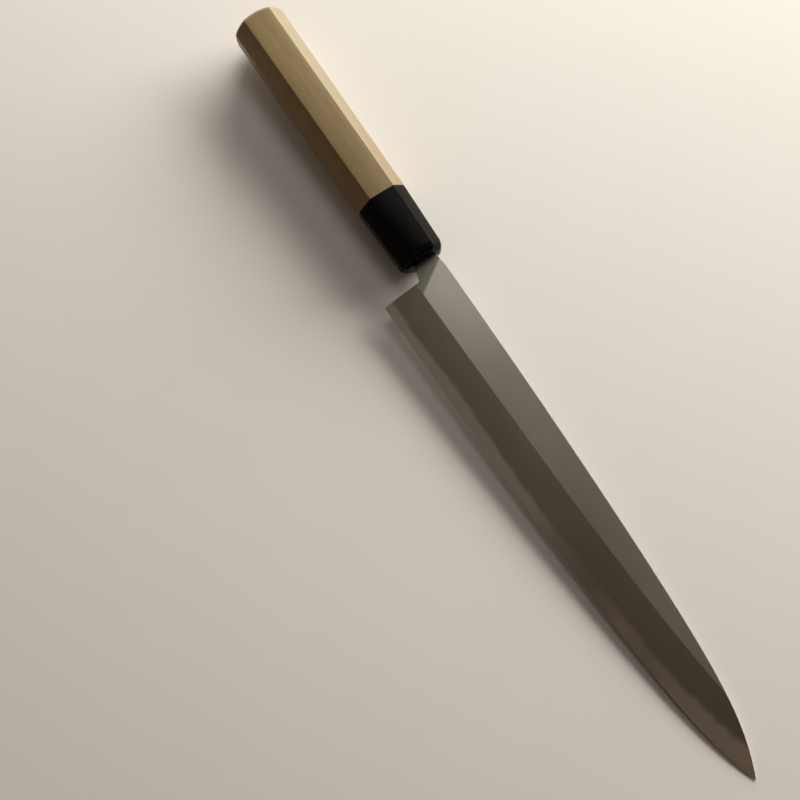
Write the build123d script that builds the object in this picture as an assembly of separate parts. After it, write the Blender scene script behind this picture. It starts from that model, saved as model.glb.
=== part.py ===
from build123d import *
import math
import os

# A long single-bevel slicing knife for raw fish, right-handed, lying flat with its bevelled face up.
# +X runs from the handle to the tip, +Y from the cutting edge to the spine, +Z out of the bevelled face.
# Each piece is drawn about the handle's own axis, with X zero at the front of the ferrule. At the end the
# whole knife is moved so that the origin is under the middle of its box, on the surface that it lies on.

# Blade outline, seen square to its face
heel_x = 8.0                    # ferrule's front face to the heel
blade_length = 252.6            # heel to tip
blade_height = 33.4             # edge to spine at the heel
spine_y = 6.9                   # the spine's height over the handle's axis
spine_run_shares = (0.30, 0.55, 0.75, 0.87, 0.945)       # of the blade's length, from the heel
spine_drop_shares = (0.013, 0.057, 0.127, 0.222, 0.350)  # of the blade's height
edge_run_shares = (0.30, 0.55, 0.75, 0.87, 0.945)
edge_rise_shares = (0.030, 0.084, 0.163, 0.254, 0.355)
tip_drop_share = 0.518          # how far the tip lies under the spine's line

# Blade thickness and grind
spine_thickness = 4.0           # at the heel
tip_thickness = 2.0             # what the flat's plane would leave at the tip
back_depth = 1.95               # the back's plane lies this far under the handle's axis
flat_lean = 1.3                 # degrees that the flat falls from the spine to the bevel
bevel_width = 17.6              # the edge to the line where the bevel meets the flat
edge_thickness = 0.15           # left at the very edge
bevel_stations_shares = (-0.03, 0.2, 0.4, 0.6, 0.78, 0.9, 1.0)  # along the edge's curve, from before the heel
spine_round = 0.2               # soft corners along the spine

# Hollow in the back
hollow_radius = 240.0           # of the wheel that grinds it
rim_at_edge = 1.2               # flat left along the edge
rim_at_spine = 2.2              # flat left along the spine
hollow_start = 3.0              # from the heel
hollow_spare = 0.4              # the wheel's circle is drawn this far past the back's plane
hollow_runs_shares = (0.0, 0.05, 0.3, 0.55, 0.75, 0.87, 0.95)   # of the blade's length
hollow_widths_shares = (0.45, 1.0, 1.0, 1.0, 1.0, 1.0, 0.8)     # of the room between the two rims

# Hard steel layer on the back
steel_thickness = 0.92
steel_scarf = 7.0               # length of its tapered rear end
steel_wave = 0.16               # how far the weld rises over that, or falls under it
steel_crest_shares = (0.8, 0.7, 0.9, 0.2, -0.5, -0.85, -0.5, -0.55, -0.75, -0.3, 0.7, 1.0)

# Neck and tang
neck_height = 11.0              # where it leaves the ferrule
neck_top = 6.2                  # the neck's upper side over the handle's axis, at the ferrule
notch_x = 7.3                   # the notch between neck and heel
notch_y = -7.3
notch_radius = 1.6
neck_inside = 4.0               # how far the full neck goes into the ferrule
shoulder_x = 2.55               # where the slanted end of the flat starts, on the spine
shoulder_end_x = 13.0           # and where it ends, at the bevel
shoulder_end_y = -8.8
neck_fall = 1.6                 # degrees that the neck's face falls away from the flat
tang_length = 106.0             # inside ferrule and handle
tang_thickness = 3.1            # behind the neck
tang_end_height = 6.4
tang_end_thickness = 2.2
tang_end_radius = 1.5

# Handle and ferrule: half sizes of the octagon, from the axis
butt_half_height = 12.8         # along Y
butt_half_thickness = 11.0      # along Z
joint_half_height = 12.1        # where wood and horn meet
joint_half_thickness = 9.9
front_half_height = 10.9
front_half_thickness = 9.2
butt_corner = 5.9               # height of the corner facets, along Y
joint_corner = 5.75
front_corner = 5.2
corner_angle = 47.5             # degrees that the corner facets stand from the upper one
handle_length = 149.3           # crown of the butt to the ferrule's front
ferrule_length = 35.7
butt_crown = 26.0               # radius of the butt's crowned end
butt_round = 1.5                # soft edge round the butt
ferrule_round = 4.2             # soft edge round the ferrule's front

# How they go together
tenon_radius = 6.6
tenon_length = 24.0
tenon_chamfer = 0.8
glue_gap = 0.05                 # round the tenon and round the tang
slot_gap = 0.3                  # round the neck in the ferrule
end_gap = 1.0                   # left before a blind bottom
overrun = 5.0                   # every cut goes past the faces it opens

heel_y = spine_y - blade_height
tip = Vector(heel_x + blade_length, spine_y - tip_drop_share * blade_height)
neck_bottom = neck_top - neck_height
notch = Vector(notch_x, notch_y)
taper = math.atan((spine_thickness - tip_thickness) / blade_length)
lean = math.radians(flat_lean)


def spine_curve():
    """The spine from above the heel to the tip."""
    points = [(heel_x + run * blade_length, spine_y - drop * blade_height)
              for run, drop in zip(spine_run_shares, spine_drop_shares)]
    return Spline((heel_x, spine_y), *points, tip)


def edge_curve():
    """The cutting edge from the heel to the tip."""
    points = [(heel_x + run * blade_length, heel_y + rise * blade_height)
              for run, rise in zip(edge_run_shares, edge_rise_shares)]
    return Spline((heel_x, heel_y), *points, tip)


def height_at(curve, x):
    """The y of an outline curve where it passes x."""
    line = Line((x, heel_y - overrun), (x, spine_y + overrun))
    hits = curve.edge().find_intersection_points(line.edge())
    return hits[0].Y


def prism_across(face):
    """A profile in X and Z, drawn out across the whole knife."""
    return Pos(Y=blade_height) * extrude(Plane.XZ * face, 2 * blade_height)


def flat_thickness(x, y):
    """Thickness under the plane of the flat, from the back's plane."""
    return spine_thickness - (x - heel_x) * math.tan(taper) - (spine_y - y) * math.tan(lean)


def blade_blank():
    """The outline of blade and neck at full thickness, standing on the back's plane."""
    neck_end = Vector(-neck_inside, neck_bottom)
    outline = make_face([
        spine_curve(),
        edge_curve(),
        Polyline((heel_x, heel_y), notch, (0, neck_bottom), neck_end, (-neck_inside, neck_top),
                 (0, neck_top), (heel_x, spine_y)),
    ])
    corner = outline.vertices().sort_by_distance(notch)[0]
    outline = fillet(corner, notch_radius)
    return Pos(Z=-back_depth) * extrude(outline, spine_thickness + overrun)


def flat_cut():
    """What is ground off over the flat: a plane that falls towards the tip and towards the bevel."""
    origin = Vector(heel_x, spine_y, spine_thickness - back_depth)
    along = Vector(math.cos(taper), 0, -math.sin(taper))
    across = Vector(0, math.cos(lean), math.sin(lean))
    face = Plane(origin, x_dir=along, z_dir=along.cross(across))
    size = 2 * (blade_length + tang_length)
    return face * Box(size, size, 2 * overrun, align=(Align.CENTER, Align.CENTER, Align.MIN))


def bevel_cut():
    """What is ground off over the bevel: a face that leans up from the edge, at a steady width."""
    edge = edge_curve()
    sections = []
    reach = 2 * bevel_width
    for share in bevel_stations_shares:
        on_edge = max(share, 0)
        along = edge % on_edge
        foot = edge @ on_edge + along * (share - on_edge) * blade_length
        across = Vector(-along.Y, along.X)
        top = foot + across * bevel_width
        rise = (flat_thickness(top.X, top.Y) - edge_thickness) / bevel_width
        low, high = edge_thickness - rise * overrun, edge_thickness + rise * reach
        station = Plane((foot.X, foot.Y, -back_depth), x_dir=across, z_dir=along)
        corners = [(-overrun, low), (reach, high), (reach, high + overrun), (-overrun, high + overrun)]
        sections.append(station * make_face(Polyline(corners, close=True)))
    return loft(sections)


def hollow_cut():
    """The shallow hollow in the back, as a large wheel grinds it, with a flat rim left all round."""
    spine, edge = spine_curve(), edge_curve()
    sections = []
    for run, share in zip(hollow_runs_shares, hollow_widths_shares):
        x = heel_x + hollow_start + run * (blade_length - hollow_start)
        top = height_at(spine, x) - rim_at_spine
        bottom = height_at(edge, x) + rim_at_edge
        middle, half = (top + bottom) / 2, share * (top - bottom) / 2
        depth = hollow_radius - math.sqrt(hollow_radius ** 2 - half ** 2)
        wide = math.sqrt(hollow_radius ** 2 - (hollow_radius - depth - hollow_spare) ** 2)
        low = -back_depth - hollow_spare
        station = Plane((x, middle, 0), x_dir=(0, 1, 0), z_dir=(1, 0, 0))
        arc = ThreePointArc((-wide, low), (0, depth - back_depth), (wide, low))
        sections.append(station * make_face([arc, Line((wide, low), (-wide, low))]))
    return loft(sections)


def neck_cut():
    """The neck's face falls away from the slanted end of the flat."""
    start = Vector(shoulder_x, spine_y, flat_thickness(shoulder_x, spine_y) - back_depth)
    end = Vector(shoulder_end_x, shoulder_end_y, flat_thickness(shoulder_end_x, shoulder_end_y) - back_depth)
    along = (end - start).normalized()
    to_tip = Vector(0, 0, 1).cross(along).normalized()
    fall = math.radians(neck_fall)
    face = Plane(start, x_dir=along, z_dir=along.cross(to_tip) * math.cos(fall) - to_tip * math.sin(fall))
    size = 4 * blade_height
    return face * Box(size, size, 4 * overrun, align=(Align.CENTER, Align.CENTER, Align.MIN))


def tang(gap):
    """The tang, tapered both ways; with a gap it is the socket that it was burned into."""
    half_root, half_end = neck_height / 2 + gap, tang_end_height / 2 + gap
    middle = neck_top - neck_height / 2
    end_x = -tang_length - gap
    side = make_face(Polyline((0, middle + half_root), (0, middle - half_root),
                              (end_x, -half_end), (end_x, half_end), close=True))
    side = fillet(side.vertices().sort_by(Axis.X)[:2], tang_end_radius)
    low = -back_depth - gap
    profile = make_face(Polyline((0, low), (0, low + tang_thickness + 2 * gap),
                                 (end_x, low + tang_end_thickness + 2 * gap), (end_x, low), close=True))
    return Pos(Z=-overrun) * extrude(side, 2 * overrun) & prism_across(profile)


def blade():
    """The whole blade with neck and tang, before it is parted into its two layers."""
    body = blade_blank() - flat_cut() - neck_cut()
    spine_faces = body.faces().filter_by(lambda face: face.normal_at().Y > 0.5)
    corners = [edge for face in spine_faces for edge in face.edges() if abs((edge % 0.5).X) > 0.5]
    body = fillet(corners, spine_round)
    return body - bevel_cut() - hollow_cut() + tang(0)


def steel_zone():
    """The space of the hard layer: a gently wavy band over the back, scarfed at its rear end."""
    start = heel_x - steel_scarf
    reach = blade_length + steel_scarf + overrun
    count = len(steel_crest_shares)
    points = []
    for number, crest in enumerate(steel_crest_shares):
        x = heel_x + number * (reach - steel_scarf) / (count - 1)
        points.append((x, steel_thickness + crest * steel_wave - back_depth))
    top = Spline(points)
    first, last = top @ 0, top @ 1
    low = -back_depth - overrun
    base = Polyline((last.X, last.Y), (last.X, low), (start, low), (start, -back_depth), (first.X, first.Y))
    return prism_across(make_face([top, base]))


def octagon(x, half_height, half_thickness, corner):
    """The points of the handle's section at x, with its four corners cut off at the corner angle."""
    corner_drop = corner * math.tan(math.radians(corner_angle))
    quarter = [(half_height, half_thickness - corner_drop), (half_height - corner, half_thickness)]
    points = quarter + [(-y, z) for y, z in reversed(quarter)]
    points += [(-y, -z) for y, z in points]
    return [(x, y, z) for y, z in points]


def octagonal_bar(rear, front):
    """A bar between two octagons, with each of its eight facets planed flat."""
    outlines = [[rear[i - 1], rear[i], front[i], front[i - 1]] for i in range(len(rear))] + [rear, front]
    return Solid(Shell([Face(Polyline(outline, close=True).wire()) for outline in outlines]))


joint_section = octagon(-ferrule_length, joint_half_height, joint_half_thickness, joint_corner)


def round_bar(start, length, radius):
    """A cylinder on the handle's axis, running forward from start."""
    return Pos(X=start) * Rot(Y=90) * Cylinder(radius, length, align=(Align.CENTER, Align.CENTER, Align.MIN))


def handle_body():
    """Octagonal wood, with a turned tenon in front and the tang's socket."""
    butt = octagon(-handle_length, butt_half_height, butt_half_thickness, butt_corner)
    ball = Pos(X=butt_crown - handle_length) * Sphere(butt_crown)
    shell = round_bar(-handle_length - overrun, overrun + butt_half_height, butt_crown) - ball
    wood = octagonal_bar(butt, joint_section) - shell
    crown = wood.faces().filter_by(GeomType.SPHERE)[0]
    wood = fillet(crown.edges(), butt_round)
    tenon = round_bar(-ferrule_length, tenon_length, tenon_radius)
    tenon = chamfer(tenon.edges().sort_by(Axis.X)[-1], tenon_chamfer)
    return wood + tenon - tang(glue_gap)


def horn_ferrule():
    """Octagonal horn ring: a blind bore for the tenon behind, a slot for the neck in front."""
    front = octagon(0, front_half_height, front_half_thickness, front_corner)
    horn = octagonal_bar(joint_section, front)
    horn = fillet(horn.edges().group_by(Axis.X)[-1], ferrule_round)
    bore_end = -ferrule_length + tenon_length + end_gap
    bore = round_bar(-ferrule_length - overrun, bore_end + ferrule_length + overrun, tenon_radius + glue_gap)
    slot_start = bore_end - overrun
    slot = Box(overrun - slot_start, neck_height + 2 * slot_gap, spine_thickness + 2 * slot_gap,
               align=(Align.MIN, Align.MAX, Align.MIN))
    return horn - bore - Pos(slot_start, neck_top + slot_gap, -back_depth - slot_gap) * slot


whole_blade = blade()
zone = steel_zone()
pieces = {
    "blade_cladding": whole_blade - zone,
    "edge_steel": whole_blade & zone,
    "handle_body": handle_body(),
    "horn_ferrule": horn_ferrule(),
}

box = Compound(list(pieces.values())).bounding_box()
middle = box.center()
os.makedirs("parts", exist_ok=True)
for name, piece in pieces.items():
    moved = Pos(-middle.X, -middle.Y, -box.min.Z) * piece
    export_step(moved, "parts/" + name + ".step")
    print(name, "solids", len(moved.solids()), "volume", round(moved.volume), "valid", moved.is_valid)
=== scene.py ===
import math

import bmesh
import bpy
from mathutils import Matrix, Vector


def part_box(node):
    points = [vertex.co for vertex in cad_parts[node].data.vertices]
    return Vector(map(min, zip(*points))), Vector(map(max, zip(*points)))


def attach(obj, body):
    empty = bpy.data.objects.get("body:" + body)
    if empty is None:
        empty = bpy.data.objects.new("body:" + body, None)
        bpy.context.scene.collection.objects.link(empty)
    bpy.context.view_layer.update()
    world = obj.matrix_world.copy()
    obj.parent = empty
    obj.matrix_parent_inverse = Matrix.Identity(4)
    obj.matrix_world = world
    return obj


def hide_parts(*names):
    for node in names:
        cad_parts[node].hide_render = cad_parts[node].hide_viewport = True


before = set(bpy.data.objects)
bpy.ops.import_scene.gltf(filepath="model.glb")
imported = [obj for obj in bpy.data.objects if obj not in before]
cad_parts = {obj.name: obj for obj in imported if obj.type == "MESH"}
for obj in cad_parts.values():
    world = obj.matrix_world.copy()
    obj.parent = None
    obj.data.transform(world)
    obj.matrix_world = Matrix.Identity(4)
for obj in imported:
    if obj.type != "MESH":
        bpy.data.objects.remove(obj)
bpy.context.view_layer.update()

MM = 0.001

# The view. The knife lies across the picture from upper left to lower right, seen from
# above with its bevelled face up. The lens stands over the blade and looks back a little.
scene = bpy.context.scene
looked_at = Vector((-7.21, -37.23, 11.0)) * MM
seen_from = Vector((156.34, -109.81, 597.58)) * MM
view_lens, sensor_width = 63.2, 36
nearest_seen = 10 * MM
view_roll = math.radians(-9.05)

bpy.ops.object.camera_add(location=seen_from)
camera = bpy.context.object
camera.name = "view"
camera.data.lens = view_lens
camera.data.sensor_width = sensor_width
camera.data.clip_start = nearest_seen
turned = (looked_at - seen_from).to_track_quat("-Z", "Y")
camera.rotation_mode = "QUATERNION"
camera.rotation_quaternion = turned @ Matrix.Rotation(view_roll, 3, "Z").to_quaternion()
scene.camera = camera
scene.view_settings.view_transform = "Standard"

# The studio. A wide soft light stands low on the spine's side, as a window would. A small one
# hangs over the butt, and one more beyond its end. Pale walls and a dim ceiling fill in the rest.
wall_light = (0.28, 0.216, 0.152)
ceiling_light = (0.052, 0.041, 0.031)
wall_top, ceiling_edge = 0.02, 0.55     # how far up the walls' light fades into the ceiling's


def soft_light(name, target, azimuth, elevation, distance, size, power, colour):
    """A rectangular soft light, so many metres from its target in a direction given in degrees."""
    turn, rise = math.radians(azimuth), math.radians(elevation)
    away = Vector((math.cos(turn) * math.cos(rise), math.sin(turn) * math.cos(rise), math.sin(rise)))
    bpy.ops.object.light_add(type="AREA", location=Vector(target) * MM + away * distance)
    light = bpy.context.object
    light.name = name
    light.data.shape = "RECTANGLE"
    light.data.size, light.data.size_y = size
    light.data.energy = power
    light.data.color = colour
    light.visible_camera = False
    light.rotation_mode = "QUATERNION"
    light.rotation_quaternion = (-away).to_track_quat("-Z", "Y")


soft_light("window_light", target=(-70, 0, 10), azimuth=112, elevation=17, distance=1.3,
           size=(1.8, 0.6), power=45, colour=(1.0, 0.95, 0.87))
soft_light("upper_light", target=(-40, 0, 10), azimuth=140, elevation=54, distance=0.7,
           size=(0.3, 0.3), power=0.52, colour=(1.0, 0.97, 0.91))
soft_light("end_light", target=(-200, 0, 15), azimuth=172, elevation=12, distance=0.5,
           size=(0.3, 0.2), power=0.55, colour=(1.0, 0.97, 0.91))

room = bpy.data.worlds.new("pale_room")
room.use_nodes = True
nodes, links = room.node_tree.nodes, room.node_tree.links
direction = nodes.new("ShaderNodeTexCoord")
split = nodes.new("ShaderNodeSeparateXYZ")
height = nodes.new("ShaderNodeValToRGB")
height.color_ramp.interpolation = "EASE"
height.color_ramp.elements[0].position = wall_top
height.color_ramp.elements[0].color = (*wall_light, 1)
height.color_ramp.elements[1].position = ceiling_edge
height.color_ramp.elements[1].color = (*ceiling_light, 1)
links.new(direction.outputs["Generated"], split.inputs[0])
links.new(split.outputs["Z"], height.inputs[0])
links.new(height.outputs[0], nodes["Background"].inputs["Color"])
scene.world = room

# The bench under the knife is a plain pale sheet. The knife rests on the front edge of its
# ferrule and on its tip, so the sheet leans to touch both.
ferrule_rest = Vector((-59.8, 0, 1.69)) * MM
tip_rest = Vector((204.9, 0, 9.0)) * MM
bench_size, bench_gap = 14.0, 0.2 * MM
sheet_tones = (0.86, 0.845, 0.82), (0.88, 0.865, 0.84)
corner_facing = (0.737, 0.676)          # how far a planed corner faces to the side, and up
facet_facing, arris_facing = 0.995, 0.945       # how squarely each faces one of the eight sides


class Finish:
    """A material that is built up in layers over one shader."""

    def __init__(self, name, **constants):
        self.material = bpy.data.materials.new(name)
        self.material.use_nodes = True
        self.tree = self.material.node_tree
        self.shader = self.tree.nodes["Principled BSDF"]
        for key, value in constants.items():
            self.shader.inputs[key.replace("_", " ")].default_value = value

    def node(self, kind, *inputs, **settings):
        """A new node. Each of its inputs is a value or another node's output."""
        node = self.tree.nodes.new("ShaderNode" + kind)
        for key, value in settings.items():
            setattr(node, key, value)
        for key, value in inputs:
            if isinstance(value, bpy.types.NodeSocket):
                self.tree.links.new(value, node.inputs[key])
            else:
                node.inputs[key].default_value = value
        return node

    def place(self, scale, location=(0, 0, 0), rotation=(0, 0, 0)):
        """Coordinates on the knife, in metres, stretched and turned for one pattern."""
        where = self.node("TexCoord").outputs["Object"]
        return self.node("Mapping", ("Vector", where), ("Scale", scale), ("Location", location),
                         ("Rotation", rotation)).outputs[0]

    def noise(self, scale, detail=3.0, rough=0.5, location=(0, 0, 0)):
        """Uneven tone, drawn out by its scale in X, Y and Z."""
        return self.node("TexNoise", ("Vector", self.place(scale, location)), ("Scale", 1.0),
                         ("Detail", detail), ("Roughness", rough)).outputs[0]

    def span(self, value, low, high, start=0.0, end=1.0, smooth=False):
        """Maps low..high of a value to start..end."""
        kind = "SMOOTHSTEP" if smooth else "LINEAR"
        return self.node("MapRange", ("Value", value), ("From Min", low), ("From Max", high),
                         ("To Min", start), ("To Max", end), interpolation_type=kind).outputs[0]

    def sum(self, operation, first, second):
        """One step of arithmetic."""
        return self.node("Math", (0, first), (1, second), operation=operation).outputs[0]

    def blend(self, factor, first, second):
        """The second colour, laid over the first one by a factor."""
        first, second = [(*c, 1) if isinstance(c, tuple) and len(c) == 3 else c for c in (first, second)]
        return self.node("Mix", (0, factor), (6, first), (7, second), data_type="RGBA").outputs[2]

    def arris(self, break_up):
        """Where the planed facets meet: 0 on a facet, up to 1 on the eased line between two."""
        facing = self.node("SeparateXYZ", (0, self.node("NewGeometry").outputs["Normal"]))
        along, high, thick = [self.sum("ABSOLUTE", facing.outputs[axis], 0.0) for axis in "XYZ"]
        corner = self.sum("ADD", self.sum("MULTIPLY", high, corner_facing[0]),
                          self.sum("MULTIPLY", thick, corner_facing[1]))
        square = self.sum("MAXIMUM", self.sum("MAXIMUM", high, thick), corner)
        eased = self.sum("MULTIPLY", self.span(square, facet_facing, arris_facing),
                         self.span(along, 0.75, 0.35))
        patches = self.span(self.noise((70, 300, 300), 3.0, 0.6, (6, 3, 8)), 0.3, 0.6, break_up, 1.0)
        return self.sum("MULTIPLY", eased, patches)

    def colour(self, value):
        """The surface's colour."""
        self.tree.links.new(value, self.shader.inputs["Base Color"])

    def roughness(self, value):
        """The surface's roughness, 0 for a mirror."""
        self.tree.links.new(value, self.shader.inputs["Roughness"])

    def relief(self, height, depth, strength=1.0):
        """Fine relief in the surface, of this depth in metres."""
        bump = self.node("Bump", ("Height", height), ("Distance", depth), ("Strength", strength))
        self.tree.links.new(bump.outputs[0], self.shader.inputs["Normal"])


bpy.ops.mesh.primitive_plane_add(size=bench_size)
bench = bpy.context.object
bench.name = "pale_bench"
lean = math.atan2(tip_rest.z - ferrule_rest.z, tip_rest.x - ferrule_rest.x)
bench.rotation_euler = (0, -lean, 0)
bench.location = ferrule_rest - Vector((0, 0, bench_gap))
bpy.ops.object.transform_apply(location=True, rotation=True, scale=True)
sheet = Finish("pale_sheet", Roughness=0.9, Specular_IOR_Level=0.1)
sheet.colour(sheet.blend(sheet.noise((40, 40, 40)), *sheet_tones))
bench.data.materials.append(sheet.material)

# Handle. A billet of pale magnolia with its four corners planed off, wider towards the
# butt. The butt is crowned and softly rounded, and a turned tenon goes into the horn.
wood_low, wood_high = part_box("handle_body")
horn_low, horn_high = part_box("horn_ferrule")
butt_x, joint_x, front_x = wood_low.x, horn_low.x, horn_high.x
axis_y, axis_z = (wood_low.y + wood_high.y) / 2, (wood_low.z + wood_high.z) / 2
corner_slope = math.tan(math.radians(47.5))
butt_section = (12.77, 10.97, 5.8, 0.25)     # half height, half thickness, corner, upper facet off centre
joint_section = (12.1, 9.9, 5.65, 0.5)
arris_ease, arris_steps = 0.25, 4
arris_turn, rim_turn = math.radians(20), math.radians(40)   # an edge that turns more than this is eased
facet_radius, facet_strips = 85.0, 7
crown_radius, crown_round, crown_steps = 26.0, 1.5, 5
crown_rings, first_ring, crown_reach = 9, 0.84, 6 * MM
dome_segments, dome_rings = 192, 96
joint_ease = 0.12
tenon_radius, tenon_length, tenon_chamfer = 6.6, 24.0, 0.8
tenon_share = 0.72          # how much of the end face the tenon is drawn from
socket_depth = 106.05
socket_mouth = (11.1, 3.2), (0.7, -0.4)     # its height and thickness, and its middle from the axis
socket_end = (6.5, 2.3), (0.0, -0.85)
near = 0.001 * MM            # closer than this, two places are one
smooth_below = math.radians(32)


def deselect_all():
    """Nothing is selected, so that the next operator acts on the new piece alone."""
    bpy.ops.object.select_all(action="DESELECT")


def pick(kind, test):
    """In edit mode, selects the vertices, edges or faces that pass the test, and no others."""
    bpy.ops.mesh.select_mode(type={"verts": "VERT", "edges": "EDGE", "faces": "FACE"}[kind])
    bpy.ops.mesh.select_all(action="DESELECT")
    mesh = bmesh.from_edit_mesh(bpy.context.object.data)
    for part in [part for part in getattr(mesh, kind) if test(part)]:
        part.select = True
    mesh.select_flush_mode()
    bmesh.update_edit_mesh(bpy.context.object.data)


def at_x(x):
    """Passes what lies wholly in the cross plane at x."""
    def test(part):
        verts = part.verts if hasattr(part, "verts") else [part]
        return all(abs(v.co.x - x) < near for v in verts)
    return test


def drawn_in(high, thick, corner, aside):
    """The arrises of a section, set in by as much as the middles of its facets swell out."""
    top, side = high - corner, thick - corner * corner_slope
    return high - side ** 2 / (2 * facet_radius), thick - top ** 2 / (2 * facet_radius), corner, aside


def swell_facets(x, high, thick, corner, aside):
    """Draws the middles of the facets out at one end, because sanding leaves them a little round."""
    top, side = high - corner, thick - corner * corner_slope
    arrises = [(aside - top, thick), (aside + top, thick), (high, side), (high, -side),
               (top, -thick), (-top, -thick), (-high, -side), (-high, side)]
    for (y1, z1), (y2, z2) in zip(arrises, arrises[1:] + arrises[:1]):
        for strip in range(1, facet_strips + 1):
            part = strip / (facet_strips + 1)
            y, z = y1 + (y2 - y1) * part, z1 + (z2 - z1) * part
            place = Vector((x, axis_y, axis_z)) + Vector((0, y, z)) * MM
            out = part * (1 - part) / (2 * facet_radius) * MM * math.hypot(y2 - y1, z2 - z1)
            pick("verts", lambda v: (v.co - place).length < 2 * near)
            bpy.ops.transform.translate(value=(0, (z1 - z2) * out, (y2 - y1) * out))


def planed_billet(name, rear_x, rear, front_x, front):
    """A square billet with its corners planed off, tapered between its two end sections, and sanded."""
    rear, front = drawn_in(*rear), drawn_in(*front)
    high, thick, corner = rear[:3]
    deselect_all()
    bpy.ops.mesh.primitive_cube_add(size=1, location=((rear_x + front_x) / 2, axis_y, axis_z),
                                    scale=(front_x - rear_x, 2 * high * MM, 2 * thick * MM))
    billet = bpy.context.object
    billet.name = billet.data.name = name
    bpy.ops.object.transform_apply(location=True, rotation=True, scale=True)
    bpy.ops.object.mode_set(mode="EDIT")
    pick("edges", lambda edge: abs(edge.verts[0].co.x - edge.verts[1].co.x) > corner * MM)
    bpy.ops.mesh.bevel(offset=corner * MM, segments=1, affect="EDGES")
    reach = (high - corner / 2) * MM
    for x, (end_high, end_thick, end_corner, aside) in ((rear_x, rear), (front_x, front)):
        drop = end_corner * corner_slope
        for side, new in ((True, (end_high, end_thick - drop)), (False, (end_high - end_corner, end_thick))):
            old = (high, thick - corner) if side else (high - corner, thick)
            pick("verts", lambda v: at_x(x)(v) and (abs(v.co.y - axis_y) > reach) == side)
            bpy.ops.transform.resize(value=(1, new[0] / old[0], new[1] / old[1]),
                                     center_override=(x, axis_y, axis_z))
        pick("verts", lambda v: at_x(x)(v) and v.co.z - axis_z > end_thick * MM - near)
        bpy.ops.transform.translate(value=(0, aside * MM, 0))
    pick("edges", lambda edge: at_x(rear_x)(edge) or at_x(front_x)(edge))
    bpy.ops.mesh.subdivide(number_cuts=facet_strips)
    swell_facets(rear_x, *rear)
    swell_facets(front_x, *front)
    pick("edges", lambda edge: abs(edge.verts[0].co.x - edge.verts[1].co.x) > corner * MM
         and edge.calc_face_angle(0) > arris_turn)
    bpy.ops.mesh.bevel(offset=arris_ease * MM, segments=arris_steps, affect="EDGES")
    return billet


def ring_on(forward, shrink, x, shrink_thick=None):
    """Draws the selected end face out by a distance, and shrinks it about the handle's axis."""
    bpy.ops.mesh.extrude_region_move(TRANSFORM_OT_translate={"value": (forward, 0, 0)})
    bpy.ops.transform.resize(value=(1, shrink, shrink_thick or shrink), center_override=(x, axis_y, axis_z))


def cut_away(piece, tool):
    """Cuts the tool's shape out of the piece, and takes the tool away."""
    bpy.context.view_layer.objects.active = piece
    cut = piece.modifiers.new("cut", "BOOLEAN")
    cut.operation, cut.object, cut.solver = "DIFFERENCE", tool, "EXACT"
    bpy.ops.object.modifier_apply(modifier=cut.name)
    bpy.data.objects.remove(tool)


def finish_shading(piece):
    """Soft shading over the eased edges, with the planed faces kept flat."""
    deselect_all()
    piece.select_set(True)
    bpy.context.view_layer.objects.active = piece
    bpy.ops.object.shade_smooth_by_angle(angle=smooth_below)
    flat = piece.modifiers.new("flat_faces", "WEIGHTED_NORMAL")
    flat.keep_sharp = True
    bpy.ops.object.modifier_apply(modifier=flat.name)


handle = planed_billet("magnolia_handle", butt_x, butt_section, joint_x, joint_section)
pick("faces", at_x(butt_x))
for ring in range(crown_rings):
    left = crown_rings - ring
    ring_on(0, (left - 0.5) / (left + 0.5) if ring else first_ring, butt_x)
bpy.ops.mesh.poke()
pick("verts", at_x(butt_x))
bpy.ops.object.mode_set(mode="OBJECT")
crown_group = handle.vertex_groups.new(name="crown")
crown_group.add([v.index for v in handle.data.vertices if v.select], 1.0, "REPLACE")
deselect_all()
bpy.ops.mesh.primitive_uv_sphere_add(segments=dome_segments, ring_count=dome_rings,
                                     radius=crown_radius * MM,
                                     location=(butt_x + crown_radius * MM, axis_y, axis_z))
dome = bpy.context.object
bpy.context.view_layer.objects.active = handle
crown = handle.modifiers.new("crown", "SHRINKWRAP")
crown.target, crown.vertex_group = dome, "crown"
crown.wrap_method, crown.use_project_x, crown.use_negative_direction = "PROJECT", True, False
crown.use_positive_direction, crown.project_limit = True, crown_reach
bpy.ops.object.modifier_apply(modifier=crown.name)
bpy.data.objects.remove(dome)
deselect_all()
handle.select_set(True)
bpy.ops.object.mode_set(mode="EDIT")
pick("edges", lambda edge: max(v.co.x for v in edge.verts) < butt_x + crown_reach
     and edge.calc_face_angle(0) > rim_turn)
bpy.ops.mesh.bevel(offset=crown_round * MM, segments=crown_steps, affect="EDGES")
pick("edges", lambda edge: at_x(joint_x)(edge) and edge.calc_face_angle(0) > rim_turn)
bpy.ops.mesh.bevel(offset=joint_ease * MM, segments=1, affect="EDGES")
pick("faces", at_x(joint_x))
ring_on(0, tenon_share, joint_x)
bpy.ops.transform.tosphere(value=1.0)
mesh = bmesh.from_edit_mesh(handle.data)
round_verts = [v.co for v in mesh.verts if v.select]
mean_radius = sum(math.hypot(co.y - axis_y, co.z - axis_z) for co in round_verts) / len(round_verts)
true_up = tenon_radius * MM / mean_radius
bpy.ops.transform.resize(value=(1, true_up, true_up), center_override=(joint_x, axis_y, axis_z))
ring_on((tenon_length - tenon_chamfer) * MM, 1.0, joint_x)
ring_on(tenon_chamfer * MM, 1 - tenon_chamfer / tenon_radius, joint_x + tenon_length * MM)
bpy.ops.mesh.select_all(action="SELECT")
bpy.ops.mesh.normals_make_consistent(inside=False)
bpy.ops.object.mode_set(mode="OBJECT")
deselect_all()
bpy.ops.mesh.primitive_cube_add(size=1, location=(front_x - socket_depth * MM / 2, axis_y, axis_z),
                                scale=(socket_depth * MM, 2 * MM, 2 * MM))
socket = bpy.context.object
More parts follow.
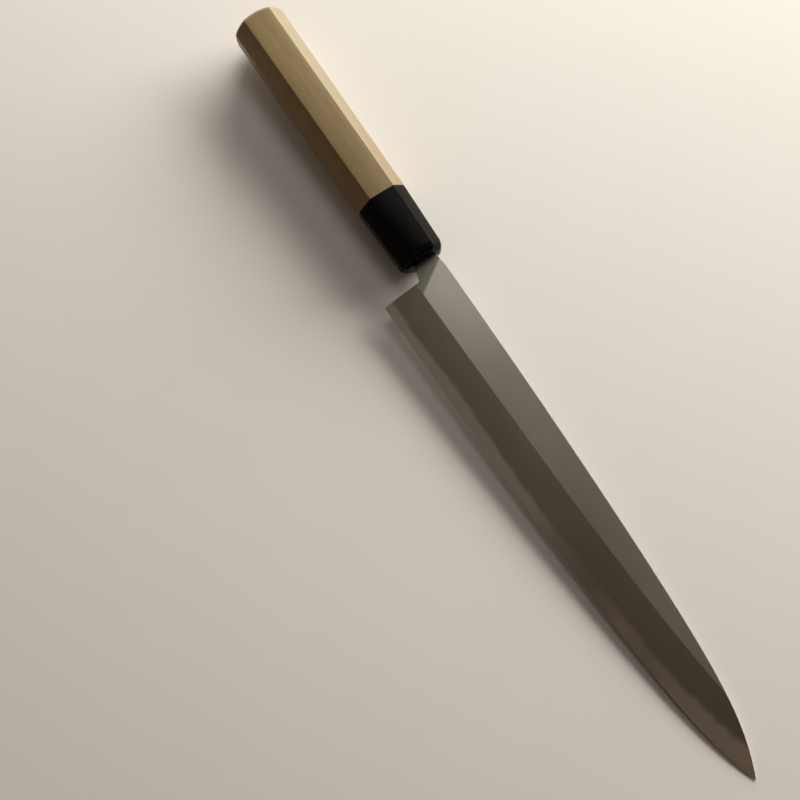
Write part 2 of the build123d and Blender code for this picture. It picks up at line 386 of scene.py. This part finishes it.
bpy.ops.object.transform_apply(location=True, rotation=True, scale=True)
bpy.ops.object.mode_set(mode="EDIT")
for x, (high, thick), (y, z) in ((front_x, *socket_mouth), (front_x - socket_depth * MM, *socket_end)):
    pick("faces", at_x(x))
    bpy.ops.transform.resize(value=(1, high / 2, thick / 2), center_override=(x, axis_y, axis_z))
    bpy.ops.transform.translate(value=(0, y * MM, z * MM))
bpy.ops.object.mode_set(mode="OBJECT")
cut_away(handle, socket)
finish_shading(handle)

# The wood darkens towards the horn. Painted warm shade darkens the edge's side, and a pale painted
# sheen lies on the spine's side and on the butt, with the rings of its end grain showing.
streak_tones = (0.178, 0.108, 0.030), (0.300, 0.207, 0.074)
ring_tone, end_ring_tone = (0.228, 0.154, 0.050), (0.150, 0.102, 0.044)
fibre_tone, cloud_tone, pore_tone = (0.312, 0.218, 0.082), (0.228, 0.163, 0.056), (0.115, 0.070, 0.027)
toward_horn_tone, edge_side_painted_shade_tone, worn_tone = (0.150, 0.092, 0.034), (0.172, 0.076, 0.0), (0.150, 0.098, 0.034)
spine_side_painted_sheen_tone, butt_painted_sheen_tone = (0.235, 0.228, 0.158), (0.330, 0.280, 0.185)
toward_horn_from = butt_x + 20 * MM
magnolia = Finish("magnolia", Specular_IOR_Level=0.7)
rings = magnolia.node("TexWave", ("Vector", magnolia.place((0.12, 1, 1), (0, -0.05, 0.032), (0, 0.03, 0.05))),
                      ("Scale", 95.0), ("Distortion", 1.2), ("Detail", 3.0), ("Detail Scale", 1.4),
                      wave_type="RINGS", rings_direction="X").outputs[0]
fibre = magnolia.noise((45, 1500, 1500), 5.0, 0.62)
streak = magnolia.noise((14, 330, 330), 4.0, 0.55, (3, 1, 2))
cloud = magnolia.noise((28, 45, 45), 2.0, 0.5, (7, 7, 1))
pores = magnolia.span(magnolia.noise((170, 3600, 3600), 1.0, 0.4, (1, 5, 9)), 0.64, 0.74)
tone = magnolia.blend(magnolia.span(streak, 0.34, 0.66), *streak_tones)
tone = magnolia.blend(magnolia.span(rings, 0.0, 1.0, 0.0, 0.45), tone, ring_tone)
tone = magnolia.blend(magnolia.span(fibre, 0.3, 0.7, 0.0, 0.6), tone, fibre_tone)
tone = magnolia.blend(magnolia.span(cloud, 0.35, 0.7, 0.0, 0.5), tone, cloud_tone)
tone = magnolia.blend(magnolia.sum("MULTIPLY", pores, 0.4), tone, pore_tone)
facing = magnolia.node("SeparateXYZ", (0, magnolia.node("NewGeometry").outputs["Normal"]))
where = magnolia.node("SeparateXYZ", (0, magnolia.node("TexCoord").outputs["Object"]))
# The wood is darker towards the horn.
toward_horn = magnolia.span(where.outputs["X"], toward_horn_from, joint_x)
tone = magnolia.blend(magnolia.sum("MULTIPLY", toward_horn, 0.42), tone, toward_horn_tone)
# Painted shade: the facets on the edge's side are darkened and warmed.
edge_side_painted_shade = magnolia.span(facing.outputs["Y"], -0.3, -0.65)
tone = magnolia.blend(magnolia.sum("MULTIPLY", edge_side_painted_shade, 0.6), tone, edge_side_painted_shade_tone)
# Painted sheen: the facets on the spine's side are paler, less so towards the horn.
spine_side_painted_sheen = magnolia.sum("MULTIPLY", magnolia.span(facing.outputs["Y"], 0.3, 0.7, 0.0, 0.45),
                        magnolia.span(toward_horn, 0.3, 1.0, 1.0, 0.35))
tone = magnolia.blend(spine_side_painted_sheen, tone, spine_side_painted_sheen_tone)
# Painted sheen: the butt's end is paler.
butt_painted_sheen = magnolia.span(facing.outputs["X"], -0.1, -0.7)
tone = magnolia.blend(magnolia.sum("MULTIPLY", butt_painted_sheen, 0.45), tone, butt_painted_sheen_tone)
end_grain = magnolia.sum("MULTIPLY", magnolia.span(rings, 0.55, 0.95),
                         magnolia.span(facing.outputs["X"], -0.6, -0.9))
tone = magnolia.blend(magnolia.sum("MULTIPLY", end_grain, 0.5), tone, end_ring_tone)
worn = magnolia.arris(0.5)
tone = magnolia.blend(magnolia.sum("MULTIPLY", worn, 0.35), tone, worn_tone)
magnolia.colour(tone)
magnolia.roughness(magnolia.sum("ADD", magnolia.span(fibre, 0.2, 0.8, 0.50, 0.38),
                                magnolia.sum("MULTIPLY", worn, 0.3)))
magnolia.relief(magnolia.sum("SUBTRACT", fibre, pores), 0.00006, 0.55)
handle.data.materials.append(magnolia.material)
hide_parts("handle_body")
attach(handle, "root")

# Ferrule. A ring of dark buffalo horn, planed with the handle in one go, and rounded by
# hand at its front. It has a blind bore for the tenon and a slot that the neck goes into.
front_section = (10.9, 9.2, 5.1, 0.5)
front_round, round_steps = 4.2, 16
rear_ease = 0.12
bore_depth, bore_gap, bore_sides = 25.0, 0.05, 96
slot_high, slot_thick, slot_gap = 11.0, 4.0, 0.3
slot_y, slot_z = 0.7, 0.05
slot_round, slot_steps, slot_reach = 0.6, 4, 40 * MM

before_round = front_round * MM / (front_x - joint_x)
round_section = [front + (joint - front) * before_round for joint, front in zip(joint_section, front_section)]
ferrule = planed_billet("horn_ring", joint_x, joint_section, front_x - front_round * MM, round_section)
pick("faces", at_x(front_x - front_round * MM))
reached, high, thick = 0.0, *round_section[:2]
for step in range(1, round_steps + 1):
    turn = math.radians(90 * step / round_steps)
    forward, inward = front_round * math.sin(turn), front_round * (1 - math.cos(turn))
    new_high, new_thick = front_section[0] - inward, front_section[1] - inward
    ring_on((forward - reached) * MM, new_high / high, front_x, new_thick / thick)
    reached, high, thick = forward, new_high, new_thick
pick("edges", at_x(joint_x))
bpy.ops.mesh.bevel(offset=rear_ease * MM, segments=1, affect="EDGES")
bpy.ops.object.mode_set(mode="OBJECT")

deselect_all()
bpy.ops.mesh.primitive_cylinder_add(vertices=bore_sides, radius=(tenon_radius + bore_gap) * MM,
                                    depth=2 * bore_depth * MM, location=(joint_x, axis_y, axis_z),
                                    rotation=(0, math.pi / 2, 0))
bore = bpy.context.object
bpy.ops.object.transform_apply(location=True, rotation=True, scale=True)
cut_away(ferrule, bore)
deselect_all()
bpy.ops.mesh.primitive_cube_add(size=1, location=(front_x, axis_y + slot_y * MM, axis_z + slot_z * MM),
                                scale=(slot_reach, (slot_high + 2 * slot_gap) * MM,
                                       (slot_thick + 2 * slot_gap) * MM))
slot = bpy.context.object
bpy.ops.object.transform_apply(location=True, rotation=True, scale=True)
bpy.ops.object.mode_set(mode="EDIT")
pick("edges", lambda edge: abs(edge.verts[0].co.x - edge.verts[1].co.x) > slot_reach / 2)
bpy.ops.mesh.bevel(offset=slot_round * MM, segments=slot_steps, affect="EDGES")
bpy.ops.object.mode_set(mode="OBJECT")
cut_away(ferrule, slot)
finish_shading(ferrule)

horn_tones = (0.0012, 0.0010, 0.0006), (0.0044, 0.0029, 0.0011)
horn = Finish("buffalo_horn", IOR=1.54, Specular_IOR_Level=0.07)
veins = horn.noise((16, 420, 420), 4.0, 0.6, (2, 4, 1))
haze = horn.noise((60, 90, 90), 2.0)
scuffs = horn.noise((90, 4200, 4200), 3.0, 0.6, (8, 2, 5))
horn.colour(horn.blend(horn.span(veins, 0.5, 0.75), *horn_tones))
rough = horn.sum("ADD", horn.span(haze, 0.3, 0.7, 0.16, 0.22), horn.span(scuffs, 0.45, 0.8, 0.0, 0.05))
horn.roughness(horn.sum("ADD", rough, horn.sum("MULTIPLY", horn.arris(0.4), 0.5)))
horn.relief(scuffs, 0.00002, 0.3)
ferrule.data.materials.append(horn.material)
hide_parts("horn_ferrule")
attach(ferrule, "root")

# Blade body. Soft iron, under the flat, the upper bevel, the spine, the neck and the tang.
# Stones left the flat satin, the bevel hazy and the weld a soft cloud. The neck is as forged.
back_z = 9.02 * MM
steel_height, wave_height = 0.92 * MM, 0.16 * MM
weld_crests = (0.8, 0.7, 0.9, 0.2, -0.5, -0.85, -0.5, -0.55, -0.75, -0.3, 0.7, 1.0)
heel_x, blade_length, ramp_end = -47.65 * MM, 252.6 * MM, 257.6 * MM
# How light or how warm each finish is, at shares of the way from the heel to the tip. The flat's
# lightness is a painted highlight, the hard steel's a painted reflection, and the warmth a painted
# warm reflection.
haze_tones = ((0.0, 1.42), (0.21, 1.34), (0.42, 1.34), (0.50, 1.14), (0.60, 1.0), (0.70, 1.08),
              (0.78, 1.12), (0.86, 1.38), (1.0, 1.5))
iron_tones = ((0.0, 1.36), (0.067, 1.25), (0.2, 1.17), (0.36, 1.19), (0.47, 1.12), (0.57, 0.95),
              (0.76, 0.98), (1.0, 1.0))
flat_tones = ((0.0, 1.02), (0.08, 1.01), (0.16, 0.935), (0.24, 0.88), (0.40, 0.87), (0.60, 0.93),
              (0.80, 1.16), (1.0, 1.2))
warm_tones = ((0.0, 0.0), (0.60, 0.1), (0.675, 0.65), (0.76, 0.45), (0.84, 0.9), (1.0, 1.0))
weld_softness, billow_height = 0.2 * MM, 0.09 * MM
low_iron_tones = (0.247, 0.222, 0.182), (0.405, 0.364, 0.299)       # beside the weld, dull and bright
high_iron_tones = (0.317, 0.288, 0.241), (0.452, 0.410, 0.343)      # beside the flat
iron_rise = 2.4 * MM
steel_tones = (0.25, 0.222, 0.182), (0.66, 0.605, 0.515)
warm_painted_reflection_tones = (0.62, 0.40, 0.27), (0.55, 0.35, 0.34)
mottle_tone, drag_tone = (0.24, 0.214, 0.172), (0.42, 0.39, 0.34)
neck_line = (-0.8325, -0.5541, 0.0)     # square to the shoulder line, towards the handle
neck_reach, neck_length = 36.58 * MM, 9 * MM
neck_blur = -0.4 * MM, 0.6 * MM


def along_blade(finish, stops, reach, interpolation="CARDINAL", base=0.0, scale=1.0):
    """A value that changes along the blade, through these stops."""
    x = finish.node("SeparateXYZ", (0, finish.node("TexCoord").outputs["Object"])).outputs["X"]
    ramp = finish.node("ValToRGB", (0, finish.span(x, heel_x, heel_x + reach)))
    ramp.color_ramp.interpolation = interpolation
    points = ramp.color_ramp.elements
    while len(points) < len(stops):
        points.new(0.5)
    for point, (place, value) in zip(points, stops):
        point.position = place
        point.color = (*[(value - base) / scale] * 3, 1)
    return ramp.outputs[0]


def dress(layer, finish):
    """Gives one layer of the blade its finish in place of the plain one."""
    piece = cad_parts[layer]
    piece.data.materials.clear()
    piece.data.materials.append(finish.material)


def ground_steel(name):
    """The ground face, the same on both layers, so that the haze runs across the weld."""
    finish = Finish(name, Metallic=1.0)
    where = finish.node("SeparateXYZ", (0, finish.node("TexCoord").outputs["Object"]))
    facing = finish.node("SeparateXYZ", (0, finish.node("NewGeometry").outputs["Normal"]))
    height = finish.sum("SUBTRACT", where.outputs["Z"], back_z + steel_height)
    stops = [(n / (len(weld_crests) - 1), crest) for n, crest in enumerate(weld_crests)]
    crest = along_blade(finish, stops, ramp_end, base=-1.0, scale=2.0)
    wave = finish.span(crest, 0.0, 1.0, -wave_height, wave_height)
    billow = finish.span(finish.noise((130, 170, 30), 3.0, 0.55, (1, 1, 0)), 0.3, 0.7,
                         -billow_height, billow_height)
    over = finish.sum("SUBTRACT", finish.sum("SUBTRACT", height, wave), billow)
    in_iron = finish.span(over, -weld_softness, weld_softness, smooth=True)
    mottle = finish.noise((22, 60, 60), 3.0, 0.5, (4, 0, 2))
    drag = finish.noise((18, 2600, 2600), 4.0, 0.6, (0, 3, 0))
    grit = finish.noise((2500, 2500, 2500), 2.0, 0.5)
    haze = along_blade(finish, haze_tones, blade_length, base=1.0, scale=0.5)
    warm = along_blade(finish, warm_tones, blade_length, "LINEAR")
    warm_painted_reflection = finish.blend(finish.span(finish.noise((110, 110, 110), 2.0, 0.5, (3, 3, 3)), 0.4, 0.6),
                         *warm_painted_reflection_tones)
    lift = along_blade(finish, iron_tones, blade_length, "LINEAR", base=0.9, scale=0.5)
    low_iron = finish.blend(lift, *low_iron_tones)
    high_iron = finish.blend(lift, *high_iron_tones)
    iron = finish.blend(finish.span(height, 0.0, iron_rise), low_iron, high_iron)
    # Painted reflection: the hard steel is lighter near the heel and the tip.
    hard = finish.blend(haze, *steel_tones)
    # Painted reflection: a warm tint towards the tip.
    hard = finish.blend(finish.sum("MULTIPLY", warm, 0.6), hard, warm_painted_reflection)
    ground = finish.blend(in_iron, hard, iron)
    ground = finish.blend(finish.span(mottle, 0.3, 0.7, 0.0, 0.22), ground, mottle_tone)
    ground = finish.blend(finish.span(drag, 0.3, 0.7, 0.0, 0.16), ground, drag_tone)
    rough = finish.span(in_iron, 0.0, 1.0, 0.47, 0.43)
    rough = finish.sum("ADD", rough, finish.span(mottle, 0.3, 0.7, -0.02, 0.02))
    return finish, where, facing, ground, rough, drag, grit


flat_painted_dim_tones = (0.388, 0.364, 0.326), (0.436, 0.411, 0.370)
flat_painted_lit_tones = (0.582, 0.546, 0.490), (0.654, 0.617, 0.556)
flat_drag_tone, spine_painted_shade_tone = (0.64, 0.61, 0.56), (0.15, 0.14, 0.125)
forged_tones, neck_painted_shade_tone = ((0.25, 0.236, 0.20), (0.165, 0.154, 0.128)), (0.10, 0.094, 0.078)
relief_depth = 0.012 * MM
iron, _, facing, ground, rough, drag, grit = ground_steel("soft_iron")
cloud = iron.noise((16, 34, 34), 3.0, 0.5, (9, 2, 2))
# Painted highlight: the flat is lighter near the heel and towards the tip.
shade = along_blade(iron, flat_tones, blade_length, base=0.8, scale=0.4)
flat_painted_dim = iron.blend(iron.span(cloud, 0.3, 0.7), *flat_painted_dim_tones)
flat_painted_lit = iron.blend(iron.span(cloud, 0.3, 0.7), *flat_painted_lit_tones)
flat = iron.blend(shade, flat_painted_dim, flat_painted_lit)
flat = iron.blend(iron.span(drag, 0.3, 0.7, 0.0, 0.18), flat, flat_drag_tone)
on_bevel = iron.span(facing.outputs["Y"], -0.05, -0.09)
skin = iron.blend(on_bevel, flat, ground)
# Painted shade: the spine is darkened, so its rounded corner catches little light.
on_spine = iron.span(facing.outputs["Y"], 0.12, 0.35)
skin = iron.blend(on_spine, skin, spine_painted_shade_tone)
to_neck = iron.node("VectorMath", (0, iron.node("TexCoord").outputs["Object"]), (1, neck_line),
                    operation="DOT_PRODUCT").outputs["Value"]
pitted = iron.span(iron.noise((2600, 2600, 2600), 2.0, 0.6, (2, 2, 2)), 0.5, 0.68)
on_neck = iron.sum("MULTIPLY", iron.span(to_neck, *[neck_reach + blur for blur in neck_blur]),
                   iron.sum("SUBTRACT", 1.0, on_bevel))
forged = iron.blend(pitted, *forged_tones)
# Painted shade: the neck darkens towards the ferrule, where the horn shades it.
forged = iron.blend(iron.span(to_neck, neck_reach, neck_reach + neck_length, 0.0, 0.35), forged, neck_painted_shade_tone)
skin = iron.blend(on_neck, skin, forged)
iron.colour(skin)
flat_rough = iron.span(cloud, 0.3, 0.7, 0.345, 0.375)
skin_rough = iron.sum("ADD", iron.sum("MULTIPLY", rough, on_bevel),
                      iron.sum("MULTIPLY", flat_rough, iron.sum("SUBTRACT", 1.0, on_bevel)))
skin_rough = iron.sum("MAXIMUM", skin_rough, iron.sum("MULTIPLY", on_neck, 0.5))
iron.roughness(iron.sum("MAXIMUM", skin_rough, iron.sum("MULTIPLY", on_spine, 0.5)))
pits = iron.sum("MULTIPLY", pitted, on_neck)
iron.relief(iron.sum("ADD", iron.sum("MULTIPLY", drag, 0.5), iron.sum("SUBTRACT", grit, pits)),
            relief_depth, 0.5)
dress("blade_cladding", iron)

# Edge steel. Hard steel, forge-welded along the whole back and ground with the iron as one.
# It shows along the edge, and the wheel's lines cross its hollow back inside a stoned rim.
hollow_tones, rim_tone = ((0.36, 0.345, 0.32), (0.47, 0.455, 0.43)), (0.55, 0.54, 0.51)
hollow_from, hollow_until = back_z + 0.012 * MM, back_z + 0.03 * MM
steel, where, facing, ground, rough, drag, grit = ground_steel("hard_steel")
behind = steel.span(facing.outputs["Z"], -0.5, -0.9)
in_hollow = steel.span(where.outputs["Z"], hollow_from, hollow_until)
wheel_lines = steel.noise((2400, 25, 25), 4.0, 0.6, (5, 1, 1))
hollow = steel.blend(steel.span(wheel_lines, 0.3, 0.7), *hollow_tones)
steel.colour(steel.blend(behind, ground, steel.blend(in_hollow, rim_tone, hollow)))
back_rough = steel.span(in_hollow, 0.0, 1.0, 0.22, 0.36)
steel.roughness(steel.sum("ADD", steel.sum("MULTIPLY", behind, back_rough),
                          steel.sum("MULTIPLY", rough, steel.sum("SUBTRACT", 1.0, behind))))
wheel_marks = steel.sum("MULTIPLY", behind, wheel_lines)
steel.relief(steel.sum("ADD", steel.sum("MULTIPLY", drag, 0.5), steel.sum("ADD", grit, wheel_marks)),
             relief_depth, 0.5)
dress("edge_steel", steel)
